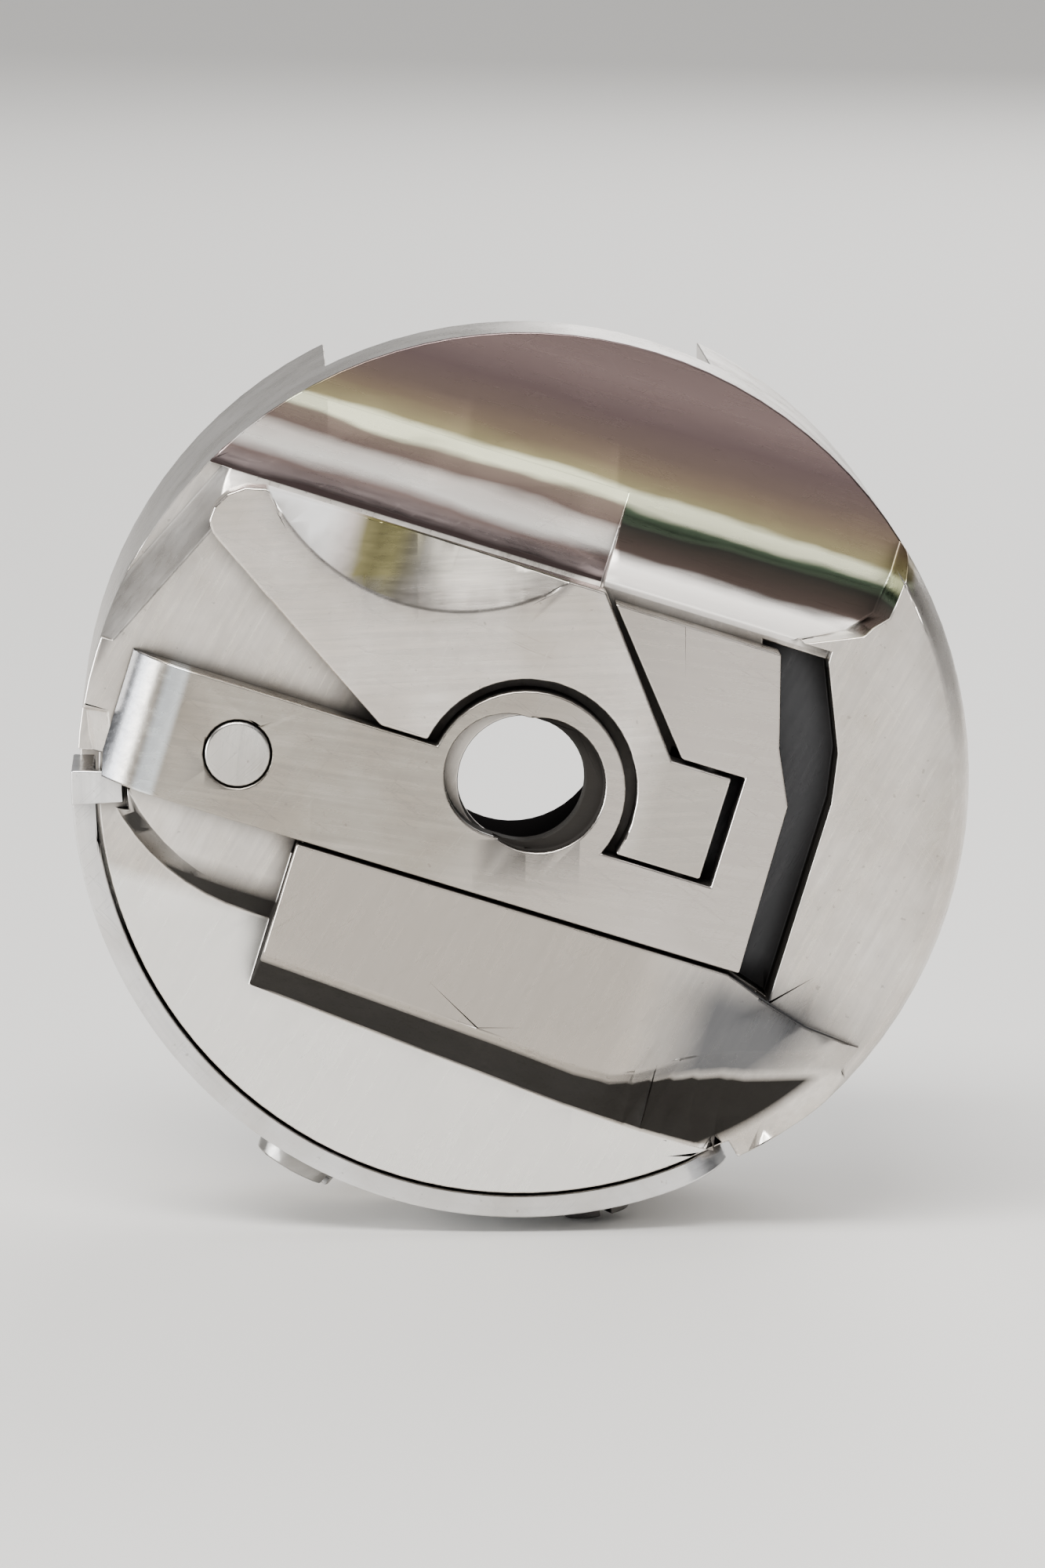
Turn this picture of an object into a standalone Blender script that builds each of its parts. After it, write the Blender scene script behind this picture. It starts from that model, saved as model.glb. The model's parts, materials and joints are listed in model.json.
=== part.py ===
"""Removable bobbin case with its empty bobbin, for a sewing machine with a vertical hook.

Sizes are in millimetres and angles in degrees. The case is drawn upright: x runs to the
right along the latch slide, z runs up, y runs from the latch face (-y) to the open mouth
(y = 0). An empty then tilts the whole case about its axis, as it sits in the hook.
"""

import math

import bmesh
import bpy
from mathutils import Matrix, Vector

MM = 0.001
TILT = 17.3               # the slide runs down to the right by this much

# Cup
CASE_R = 11.5
WALL = 1.0
CAVITY_R = CASE_R - WALL
CAVITY_Y = -9.2           # inside face of the cup's floor
FLOOR_Y = -10.0           # the two lowered segments of the front
PLATFORM_Y = -10.9        # what the slide and the lever lie on
CRESCENT_Y = -11.7
CLEARANCE_Y = -10.1       # the gap at the slide's right end
FRONT_Y = -12.0
EDGE_R = 1.3              # the rounded front edge
RIM = 0.15                # chamfers of the mouth
STUD_HOLE_R = 1.7

# Raised block below the slide, and the cove above the latch
BLOCK_LEFT, BLOCK_TOP = -5.15, -3.12
COVE_START, COVE_END = 5.48, 7.7

# Latch
GAP = 0.05
SLIDE_BACK = PLATFORM_Y - GAP
SLIDE_LEFT_R = 10.85
BAR_TOP, BAR_LOW = 0.36, -3.02
SLIDE_TOP = 5.2
BOSS_X, BOSS_Z, BOSS_R = 0.05, -0.05, 2.55
LEVER_BORE_R = 2.84
NOTCH_LOW, NOTCH_TOP, NOTCH_RIGHT = -1.08, 1.87, 5.33
PIN_X, PIN_Y, PIN_R = 4.4, -11.46, 0.28
PIN_LOW, PIN_HIGH = -2.5, 3.1
RIVET_X, RIVET_Z = -7.29, -1.34
RIVET_HEAD_R, RIVET_R = 0.84, 0.42
GROOVE_LEFT, GROOVE_RIGHT = -8.5, -2.4
GROOVE_HALF = 0.62
GROOVE_Y = -9.86
SPRING_Y = -10.40         # axis of the coil spring
SPRING_COIL_R, SPRING_WIRE_R, SPRING_TURNS = 0.37, 0.09, 8

# Thread tension
LEAF_IN, LEAF_OUT = 11.05, 11.65
LEAF_TIP, LEAF_END = 196.0, 315.0
LEAF_FRONT, LEAF_REAR = -9.75, -5.35
SEAT_R = 10.95            # the wall under the leaf
SCREW_Y = -7.5
TENSION_ANGLE, CLAMP_ANGLE = 258.0, 297.0
TONGUE_R, TONGUE_SPAN = 10.3, 4.5
TONGUE_FRONT = -10.4
SLOT_ANGLE, SLOT_END_ANGLE = 238.0, 214.0
SLOT_WIDTH = 0.5

# Bobbin and the tube it turns on
TUBE_OUT, TUBE_IN = 2.95, 2.45
TUBE_REAR = -0.8
BORE_R = 3.02
HUB_R = 3.9
HUB_END_R = 3.45
FLANGE_R = 10.2
FLANGE_BORE_R = 3.5
FLANGE_T = 0.5
BOBBIN_FRONT, BOBBIN_REAR = -9.1, -0.3
FLANGE_HOLES, FLANGE_HOLE_R, FLANGE_HOLE_RING = 8, 0.85, 6.9

# Window in the wall, above the bobbin
WINDOW_HALF, WINDOW_Y = 5.0, -6.6


def arc(x, z, radius, start, end, steps):
    """Points of a round stretch of an outline, both ends included."""
    angles = [math.radians(start + (end - start) * i / steps) for i in range(steps + 1)]
    return [(x + radius * math.cos(a), z + radius * math.sin(a)) for a in angles]


def polar(radius, angle, y):
    """A point at an angle round the case's axis."""
    a = math.radians(angle)
    return Vector((radius * math.cos(a), y, radius * math.sin(a)))


def solid(bm, name):
    """A linked object made from a bmesh, with its normals facing out."""
    bmesh.ops.recalc_face_normals(bm, faces=bm.faces)
    mesh = bpy.data.meshes.new(name)
    bm.to_mesh(mesh)
    bm.free()
    thing = bpy.data.objects.new(name, mesh)
    bpy.context.scene.collection.objects.link(thing)
    return thing


def frozen(thing):
    """The same object with its modifiers made real."""
    bpy.context.view_layer.update()
    seen = thing.evaluated_get(bpy.context.evaluated_depsgraph_get())
    bm = bmesh.new()
    bm.from_mesh(seen.data)
    name = thing.name
    bpy.data.objects.remove(thing)
    bmesh.ops.remove_doubles(bm, verts=bm.verts, dist=0.0001)
    return solid(bm, name)


def tapered(name, front_outline, back_outline, front, back):
    """A block whose outline changes from the front plane to the back plane."""
    bm = bmesh.new()
    near = [bm.verts.new((x, front, z)) for x, z in front_outline]
    face = bm.faces.new(near)
    grown = bmesh.ops.extrude_face_region(bm, geom=[face])["geom"]
    for vert in (g for g in grown if isinstance(g, bmesh.types.BMVert)):
        nearest = min(range(len(front_outline)),
                      key=lambda i: math.dist(front_outline[i], (vert.co.x, vert.co.z)))
        x, z = back_outline[nearest]
        vert.co = (x, back, z)
    return solid(bm, name)


def plate(name, outline, front, back):
    """A flat plate with an (x, z) outline."""
    return tapered(name, outline, outline, front, back)


def beam(name, outline, start, end, along):
    """A bar of constant section. Along x the outline is (z, y), along z it is (x, y)."""
    bm = bmesh.new()
    if along == "x":
        verts = [bm.verts.new((start, y, z)) for z, y in outline]
        step = Vector((end - start, 0, 0))
    else:
        verts = [bm.verts.new((x, y, start)) for x, y in outline]
        step = Vector((0, 0, end - start))
    face = bm.faces.new(verts)
    grown = bmesh.ops.extrude_face_region(bm, geom=[face])["geom"]
    moved = [g for g in grown if isinstance(g, bmesh.types.BMVert)]
    bmesh.ops.translate(bm, verts=moved, vec=step)
    return solid(bm, name)


def rod(name, start, end, radius, end_radius=None, sides=32):
    """A round bar or cone between two points."""
    start, end = Vector(start), Vector(end)
    way = end - start
    place = Matrix.Translation((start + end) / 2) @ way.to_track_quat("Z", "Y").to_matrix().to_4x4()
    bm = bmesh.new()
    bmesh.ops.create_cone(bm, cap_ends=True, segments=sides, radius1=radius,
                          radius2=radius if end_radius is None else end_radius,
                          depth=way.length, matrix=place)
    return solid(bm, name)


def block(name, low, high, turn=0.0):
    """A box between two corners, turned about the case's axis."""
    low, high = Vector(low), Vector(high)
    bm = bmesh.new()
    bmesh.ops.create_cube(bm, size=1.0)
    bmesh.ops.scale(bm, verts=bm.verts, vec=high - low)
    bmesh.ops.translate(bm, verts=bm.verts, vec=(low + high) / 2)
    bmesh.ops.rotate(bm, verts=bm.verts, matrix=Matrix.Rotation(math.radians(turn), 3, "Y"))
    return solid(bm, name)


def turned(name, profile, closed=False, steps=96):
    """A profile of (radius, y) points spun about the case's axis."""
    bm = bmesh.new()
    verts = [bm.verts.new((r, y, 0)) for r, y in profile]
    for a, b in zip(verts, verts[1:]):
        bm.edges.new((a, b))
    if closed:
        bm.edges.new((verts[-1], verts[0]))
    thing = solid(bm, name)
    screw = thing.modifiers.new("Screw", "SCREW")
    screw.axis = "Y"
    screw.steps = screw.render_steps = steps
    screw.use_merge_vertices = True
    screw.merge_threshold = 0.0001
    return frozen(thing)


def sector(name, profile, start, end, steps):
    """Part of a ring: a (radius, y) outline swept between two angles about the axis."""
    bm = bmesh.new()
    a = math.radians(start)
    verts = [bm.verts.new((r * math.cos(a), y, r * math.sin(a))) for r, y in profile]
    face = bm.faces.new(verts)
    bmesh.ops.spin(bm, geom=[face, *face.edges, *face.verts], cent=(0, 0, 0), axis=(0, -1, 0),
                   angle=math.radians(end - start), steps=steps)
    return solid(bm, name)


def combine(thing, tools, operation):
    """Boolean a list of solids into a thing; the solids are used up."""
    for tool in tools:
        boolean = thing.modifiers.new(operation, "BOOLEAN")
        boolean.operation = operation
        boolean.object = tool
        thing = frozen(thing)
        bpy.data.objects.remove(tool)
    return thing


def cut(thing, *tools):
    return combine(thing, tools, "DIFFERENCE")


def join(thing, *tools):
    return combine(thing, tools, "UNION")


def material(name, colour, roughness, metallic=1.0):
    made = bpy.data.materials.new(name)
    made.use_nodes = True
    shader = made.node_tree.nodes["Principled BSDF"]
    shader.inputs["Base Color"].default_value = (*colour, 1.0)
    shader.inputs["Roughness"].default_value = roughness
    shader.inputs["Metallic"].default_value = metallic
    return made


def place(thing, tilt, parts, colour, roughness, origin=(0, 0, 0), smooth=35):
    """Scale a finished solid to metres, put its origin on its axis and tilt it with the case."""
    origin = Vector(origin)
    thing.data.transform(Matrix.Scale(MM, 4) @ Matrix.Translation(-origin))
    thing.location = origin * MM
    thing.parent = tilt
    thing.data.materials.append(material(thing.name, colour, roughness))
    thing.data.shade_smooth()
    thing.data.set_sharp_from_angle(angle=math.radians(smooth))
    bpy.context.scene.collection.objects.unlink(thing)
    parts.objects.link(thing)
    return thing


def case_blank():
    """The turned cup, with a full front that the milling below takes down."""
    edge = arc(CASE_R - EDGE_R, FRONT_Y + EDGE_R, EDGE_R, -90, 0, 10)
    profile = [(0, FRONT_Y), *edge, (CASE_R, -RIM), (CASE_R - RIM, 0), (CAVITY_R + RIM, 0),
               (CAVITY_R, -RIM), (CAVITY_R, CAVITY_Y + 0.3), (CAVITY_R - 0.3, CAVITY_Y), (0, CAVITY_Y)]
    return turned("case_body", profile)


def lower_segment():
    """Lowers the front below the raised block, whose wall slopes and sweeps up at the right."""
    far, left = 13.0, BLOCK_LEFT - 0.1
    top = [(left, -6.05), (3.4, -6.5), (4.3, -6.45), (4.9, -6.22), (5.4, -5.92), (5.9, -5.58), (6.5, -5.26),
           (7.2, -4.98), (8.2, -4.66), (9.4, -4.25), (far, -3.6), (far, -far), (left, -far)]
    foot = [(left, -7.26), (3.6, -7.92), (4.7, -7.96), (5.2, -7.98), (5.7, -8.0), (6.2, -8.0), (6.8, -8.0),
            (7.5, -7.95), (8.6, -7.8), (9.8, -7.4), (far, -6.6), (far, -far), (left, -far)]
    return tapered("lower", top, foot, FRONT_Y - 0.02, FLOOR_Y)


def lower_left():
    """Lowers the front left of the raised block, to a round edge of the platform."""
    def outline(radius):
        edge = arc(-5.77, 0.39, radius, 200, 270, 12)
        return [*edge, (BLOCK_LEFT, 0.39 - radius), (BLOCK_LEFT, -13), (-13, -13), (-13, edge[0][1])]

    return tapered("lower_left", outline(5.27), outline(5.85), PLATFORM_Y - 0.02, FLOOR_Y)


def left_slope():
    """The bright slope at the platform's upper left edge."""
    def outline(shift):
        return [(-8.85 - shift, 5.45), (-11.15 - shift, 0.4), (-14, 0.4), (-14, 5.45)]

    return tapered("left_slope", outline(0.0), outline(0.9), PLATFORM_Y - 0.02, -9.9)


def upper_segment():
    """Lowers the front above the latch: a hollow cove that runs out into a flat."""
    cove_y = -11.0
    run, drop = COVE_END - COVE_START, FLOOR_Y - cove_y
    radius = (run * run + drop * drop) / (2 * drop)
    sweep = math.degrees(math.asin(run / radius))
    cove = arc(COVE_END, FLOOR_Y - radius, radius, 90 + sweep, 90, 12)
    section = [(COVE_START, FRONT_Y - 1), *cove, (14, FLOOR_Y), (14, FRONT_Y - 1)]
    low = beam("upper", section, -13, 12, "x")
    near = [(-13, 4.5), (4.3, 4.85), (7.7, 6.35), (8.05, 7.0), (8.1, 8.2), (7.9, 14), (-13, 14)]
    deep = [(-13, 4.5), (4.3, 5.0), (6.7, 6.1), (7.35, 6.75), (7.5, 7.9), (7.4, 14), (-13, 14)]
    end = tapered("upper_end", near, deep, FRONT_Y - 2, FLOOR_Y + 0.1)
    return combine(low, [end], "INTERSECT")


def nail_pocket():
    """A deeper hollow behind the lever's free edge, for a fingernail."""
    hollow = arc(6.3, -12.7, 2.72, 138, 90, 10)
    end = COVE_END + 0.15
    section = [(hollow[0][0], FRONT_Y - 1), *hollow, (end, -9.98), (end, FRONT_Y - 1)]
    return beam("nail_pocket", section, -13, 0.45, "x")


def latch_recess():
    """Lowers the middle of the front, where the slide and the lever lie."""
    outline = [(-13, -13), (BLOCK_LEFT, -13), (BLOCK_LEFT, BLOCK_TOP), (6.5, BLOCK_TOP), (7.67, -3.55),
               (7.67, 1.85), (7.44, 3.13), (6.5, 5.3), (6.5, 5.6), (-13, 5.6)]
    return plate("recess", outline, FRONT_Y - 1, PLATFORM_Y)


def slide_clearance():
    """The deep gap at the right end of the slide, which lets it travel."""
    outline = [(4.8, 5.3), (6.5, 5.3), (7.44, 3.13), (7.67, 1.85), (7.67, -3.5), (6.2, -3.05), (6.1, 1.2),
               (5.5, 2.9)]
    return plate("clearance", outline, FRONT_Y - 1, CLEARANCE_Y)


def crescent_level():
    outline = [(7.4, -3.5), (8.8, -3.87), (9.8, -3.95), (13, -4.2), (13, 13), (4, 13), (4, 4.8)]
    return plate("crescent", outline, FRONT_Y - 1, CRESCENT_Y)


def thread_slot():
    """The slit that the thread is drawn through, and its eye under the leaf's tip."""
    half = math.degrees(SLOT_WIDTH / 2 / CASE_R)
    inner, outer = CAVITY_R - 0.6, CASE_R + 1
    bend_y = -6.4
    down = [(inner, 1), (outer, 1), (outer, bend_y - SLOT_WIDTH), (inner, bend_y - SLOT_WIDTH)]
    across = [(inner, bend_y), (outer, bend_y), (outer, bend_y - SLOT_WIDTH),
              (inner, bend_y - SLOT_WIDTH)]
    eye = [(inner, bend_y + 0.3), (outer, bend_y + 0.3), (outer, bend_y - 1.4), (inner, bend_y - 1.4)]
    slit = sector("slot", down, SLOT_ANGLE - half, SLOT_ANGLE + half, 2)
    run = sector("slot_run", across, SLOT_END_ANGLE, SLOT_ANGLE, 8)
    hole = sector("slot_eye", eye, SLOT_END_ANGLE - 8, SLOT_END_ANGLE + 0.5, 4)
    return slit, run, hole


def leaf_seat():
    """The shallow seat of the tension leaf, open to the front."""
    profile = [(SEAT_R, FRONT_Y - 1), (14, FRONT_Y - 1), (14, LEAF_REAR + 0.3), (SEAT_R, LEAF_REAR + 0.3)]
    return sector("leaf_seat", profile, LEAF_TIP - 2.5, LEAF_END + 1.5, 40)


def tongue_notch():
    """Room for the tongue of the leaf, which is bent in over the front edge."""
    profile = [(TONGUE_R - 0.1, FRONT_Y - 1), (14, FRONT_Y - 1), (14, FLOOR_Y), (TONGUE_R - 0.1, FLOOR_Y)]
    return sector("tongue_notch", profile, LEAF_TIP - 2.5, LEAF_TIP + TONGUE_SPAN + 1, 4)


def spring_groove():
    outline = arc(GROOVE_LEFT + GROOVE_HALF, RIVET_Z, GROOVE_HALF, 90, 270, 8)
    outline += [(GROOVE_RIGHT, RIVET_Z - GROOVE_HALF), (GROOVE_RIGHT, RIVET_Z + GROOVE_HALF)]
    return plate("groove", outline, FRONT_Y - 1, GROOVE_Y)


def make_case_body():
    body = cut(case_blank(), crescent_level(), latch_recess(), lower_segment(), lower_left(),
               left_slope(), upper_segment(), nail_pocket(), slide_clearance(), spring_groove())
    tab_room = block("tab_room", (3.4, FRONT_Y - 1, NOTCH_LOW - 0.1), (6.15, -10.4, NOTCH_TOP + 0.1))
    lip_room = block("lip_room", (BLOCK_LEFT, -11.34, -3.52), (7.4, -10.8, BLOCK_TOP + 0.2))
    stud_hole = rod("stud_hole", (0, -14, 0), (0, -8, 0), STUD_HOLE_R, sides=48)
    tube_seat = rod("tube_seat", (0, -9.7, 0), (0, -8, 0), TUBE_OUT + 0.03, sides=48)
    window = block("window", (-WINDOW_HALF, WINDOW_Y, 4), (WINDOW_HALF, 1, 14), -TILT)
    bores = [rod("bore", polar(9.5, angle, SCREW_Y), polar(13, angle, SCREW_Y), 0.62, sides=24)
             for angle in (TENSION_ANGLE, CLAMP_ANGLE)]
    return cut(body, tab_room, lip_room, stud_hole, tube_seat, window, leaf_seat(),
               tongue_notch(), *bores, *thread_slot())


def make_center_tube():
    chamfer = 0.15
    rear, front = TUBE_REAR, -9.66
    profile = [(TUBE_IN, front), (TUBE_OUT, front), (TUBE_OUT, rear - chamfer), (TUBE_OUT - chamfer, rear),
               (TUBE_IN + chamfer, rear), (TUBE_IN, rear - chamfer)]
    return turned("center_tube", profile, closed=True, steps=48)


def slide_outline():
    """The bar with its rounded left end, the round boss, the notch and the wide right end."""
    heights = [BAR_TOP + (BAR_LOW - BAR_TOP) * i / 4 for i in range(5)]
    left = [(-math.sqrt(SLIDE_LEFT_R ** 2 - z * z), z) for z in heights]
    top_angle = 180 - math.degrees(math.asin((BAR_TOP - BOSS_Z) / BOSS_R))
    notch_angle = math.degrees(math.asin((NOTCH_LOW - BOSS_Z) / BOSS_R))
    boss = arc(BOSS_X, BOSS_Z, BOSS_R, notch_angle, top_angle, 28)
    return [*left, (6.7, BAR_LOW), (6.6, 1.5), (5.95, 2.85), (5.25, SLIDE_TOP), (0.8, SLIDE_TOP),
            (3.62, NOTCH_TOP), (NOTCH_RIGHT, NOTCH_TOP), (NOTCH_RIGHT, NOTCH_LOW), *boss]


def make_latch_slide():
    slide = plate("latch_slide", slide_outline(), FRONT_Y, SLIDE_BACK)
    nose_r = 2.0
    nose_x = -8.85
    nose = arc(nose_x, FRONT_Y + nose_r, nose_r, -90, -180, 12)
    shave = beam("nose", [*nose, (-13, FRONT_Y + nose_r), (-13, -13), (nose_x, -13)], -5, 2, "z")
    hole_z, hole_r, hole_left, hole_right = 0.14, 1.6, -0.54, -0.1
    holes = [rod("hole", (x, -14, hole_z), (x, -10, hole_z), hole_r, sides=48)
             for x in (hole_left, hole_right)]
    web = block("web", (hole_left, -14, hole_z - hole_r), (hole_right, -10, hole_z + hole_r))
    sink_x = 0.3
    sink = rod("sink", (sink_x, -14, hole_z), (sink_x, FRONT_Y + 0.4, hole_z), 1.74, sides=48)
    counterbore = rod("counterbore", (RIVET_X, -14, RIVET_Z), (RIVET_X, FRONT_Y + 0.45, RIVET_Z),
                      RIVET_HEAD_R + 0.04)
    rivet_hole = rod("rivet_hole", (RIVET_X, -14, RIVET_Z), (RIVET_X, -10, RIVET_Z), RIVET_R + 0.04)
    pin_hole = rod("pin_hole", (PIN_X, PIN_Y, PIN_LOW - 0.05), (PIN_X, PIN_Y, PIN_HIGH + 0.05),
                   PIN_R + 0.03, sides=24)
    lip = block("lip", (BLOCK_LEFT + 0.15, -11.27, -3.42), (6.2, SLIDE_BACK, BAR_LOW + 0.2))
    slide = join(slide, lip)
    return cut(slide, shave, *holes, web, sink, counterbore, rivet_hole, pin_hole)


def make_slide_stud():
    """The rivet that joins the slide to its spring; its foot runs in the spring groove."""
    head = rod("slide_stud", (RIVET_X, FRONT_Y - 0.04, RIVET_Z), (RIVET_X, FRONT_Y + 0.41, RIVET_Z),
               RIVET_HEAD_R)
    shank = rod("shank", (RIVET_X, FRONT_Y + 0.2, RIVET_Z), (RIVET_X, GROOVE_Y - 0.08, RIVET_Z), RIVET_R)
    return join(head, shank)


def lever_outline():
    """The thumb lever: rounded tip, straight lower edge, ring round the boss, hooked tab."""
    low, tab_low, tab_top = BAR_TOP + 0.07, NOTCH_LOW + 0.1, NOTCH_TOP - 0.12
    low_angle = 180 - math.degrees(math.asin((low - BOSS_Z) / LEVER_BORE_R))
    tab_angle = math.degrees(math.asin((tab_low - BOSS_Z) / LEVER_BORE_R))
    ring = arc(BOSS_X, BOSS_Z, LEVER_BORE_R, low_angle, tab_angle, 28)
    tip = [(-8.6, 5.4), (-9.1, 5.28), (-9.5, 4.98), (-9.72, 4.58), (-9.74, 4.2), (-9.6, 3.95), (-9.36, 3.76)]
    corner = arc(-3.9, low + 0.35, 0.35, 237, 270, 3)
    return [*tip, *corner, *ring, (5.0, tab_low), (5.0, tab_top), (3.4, tab_top), (0.5, 5.4)]


def make_latch_lever():
    lever = plate("latch_lever", lever_outline(), FRONT_Y, SLIDE_BACK)
    scoop_x, scoop_z = -4.5, 9.1
    scoop = rod("scoop", (scoop_x, FRONT_Y - 1.05, scoop_z), (scoop_x, SLIDE_BACK, scoop_z), 7.7, 3.3,
                sides=128)
    pin_hole = rod("pin_hole", (PIN_X, PIN_Y, -2.5), (PIN_X, PIN_Y, 2.5), PIN_R + 0.06, sides=24)
    return cut(lever, scoop, pin_hole)


def make_lever_pin():
    return rod("lever_pin", (PIN_X, PIN_Y, PIN_LOW), (PIN_X, PIN_Y, PIN_HIGH), PIN_R, sides=24)


def make_latch_spring():
    """A coil spring in the groove, from the rivet's foot to the groove's end."""
    start = RIVET_X + RIVET_R + SPRING_WIRE_R + 0.05
    end = GROOVE_RIGHT - SPRING_WIRE_R - 0.05
    per_turn = 12
    count = SPRING_TURNS * per_turn
    curve = bpy.data.curves.new("latch_spring", "CURVE")
    curve.dimensions = "3D"
    curve.bevel_depth = SPRING_WIRE_R
    curve.bevel_resolution = 1
    curve.use_fill_caps = True
    spline = curve.splines.new("POLY")
    spline.points.add(count)
    for i, point in enumerate(spline.points):
        a = 2 * math.pi * i / per_turn
        x = start + (end - start) * i / count
        point.co = (x, SPRING_Y + SPRING_COIL_R * math.cos(a), RIVET_Z + SPRING_COIL_R * math.sin(a), 1)
    coil = bpy.data.objects.new("latch_spring", curve)
    bpy.context.scene.collection.objects.link(coil)
    bpy.context.view_layer.update()
    mesh = bpy.data.meshes.new_from_object(coil.evaluated_get(bpy.context.evaluated_depsgraph_get()))
    bpy.data.objects.remove(coil)
    bm = bmesh.new()
    bm.from_mesh(mesh)
    bmesh.ops.remove_doubles(bm, verts=bm.verts, dist=0.0001)
    return solid(bm, "latch_spring")


def make_tension_spring():
    """The leaf round the wall: a narrow tip with a tongue, a broad middle and a round end."""
    profile = [(LEAF_IN, LEAF_FRONT), (LEAF_OUT, LEAF_FRONT), (LEAF_OUT, LEAF_REAR), (LEAF_IN, LEAF_REAR)]
    leaf = sector("tension_spring", profile, LEAF_TIP, LEAF_END, 48)
    tongue_profile = [(TONGUE_R, TONGUE_FRONT), (LEAF_OUT, TONGUE_FRONT), (LEAF_OUT, LEAF_FRONT + 0.5),
                      (LEAF_IN, LEAF_FRONT + 0.5), (LEAF_IN, FLOOR_Y - GAP), (TONGUE_R, FLOOR_Y - GAP)]
    tongue = sector("tongue", tongue_profile, LEAF_TIP, LEAF_TIP + TONGUE_SPAN, 3)
    narrow_profile = [(10.8, LEAF_REAR - 1.9), (12, LEAF_REAR - 1.9), (12, LEAF_REAR + 1), (10.8, LEAF_REAR + 1)]
    narrow = sector("narrow", narrow_profile, LEAF_TIP - 1, LEAF_TIP + 24, 8)
    bores = [rod("bore", polar(9.5, angle, SCREW_Y), polar(13, angle, SCREW_Y), 0.66, sides=24)
             for angle in (TENSION_ANGLE, CLAMP_ANGLE)]
    corner_r = 1.4
    outer_a = LEAF_END - math.degrees(corner_r / LEAF_OUT)
    rounders = []
    for y, way in ((LEAF_FRONT, 1), (LEAF_REAR, -1)):
        corner = sector("corner", [(10.8, y - way), (12, y - way), (12, y + way * corner_r),
                                   (10.8, y + way * corner_r)], outer_a, LEAF_END + 1, 6)
        disc = rod("disc", polar(9, outer_a, y + way * corner_r), polar(13, outer_a, y + way * corner_r),
                   corner_r, sides=32)
        rounders.append(cut(corner, disc))
    return cut(join(leaf, tongue), narrow, *bores, *rounders)


def make_screw(name, angle, head_r, head_h, slot_turn):
    """A slotted cheese-head screw that stands radially in the wall."""
    head_low = LEAF_OUT + 0.03
    head_high = head_low + head_h
    head = rod(name, polar(head_low, angle, SCREW_Y), polar(head_high, angle, SCREW_Y), head_r,
               head_r - 0.1)
    shank = rod("shank", polar(CAVITY_R + 0.06, angle, SCREW_Y), polar(head_low + 0.1, angle, SCREW_Y), 0.56,
                sides=24)
    slot = block("slot", (-2, -0.15, head_high - 0.25), (2, 0.15, head_high + 1))
    slot.data.transform(Matrix.Rotation(math.radians(slot_turn), 4, "Z"))
    slot.data.transform(Matrix.Translation((0, SCREW_Y, 0)))
    slot.data.transform(Matrix.Rotation(math.radians(90 - angle), 4, "Y"))
    return cut(join(head, shank), slot)


def make_bobbin_hub():
    bead, shoulder = 0.12, FLANGE_T + 0.03
    front, rear = BOBBIN_FRONT + 0.05, BOBBIN_REAR - 0.05
    profile = [(BORE_R + bead, front), (HUB_END_R, front), (HUB_END_R, BOBBIN_FRONT + shoulder),
               (HUB_R, BOBBIN_FRONT + shoulder), (HUB_R, BOBBIN_REAR - shoulder),
               (HUB_END_R, BOBBIN_REAR - shoulder), (HUB_END_R, rear), (BORE_R + bead, rear),
               (BORE_R, rear - bead), (BORE_R, front + bead)]
    return turned("bobbin_hub", profile, closed=True, steps=64)


def make_flange(name, front):
    """A pierced flange with a rounded rim."""
    rear = front + FLANGE_T
    bevel = 0.15
    profile = [(FLANGE_BORE_R, front), (FLANGE_R - bevel, front), (FLANGE_R, front + bevel),
               (FLANGE_R, rear - bevel), (FLANGE_R - bevel, rear), (FLANGE_BORE_R, rear)]
    flange = turned(name, profile, closed=True, steps=72)
    holes = []
    for i in range(FLANGE_HOLES):
        angle = 360 / FLANGE_HOLES * (i + 0.5)
        holes.append(rod("hole", polar(FLANGE_HOLE_RING, angle, front - 1),
                         polar(FLANGE_HOLE_RING, angle, rear + 1), FLANGE_HOLE_R, sides=24))
    return cut(flange, *holes)


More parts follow.
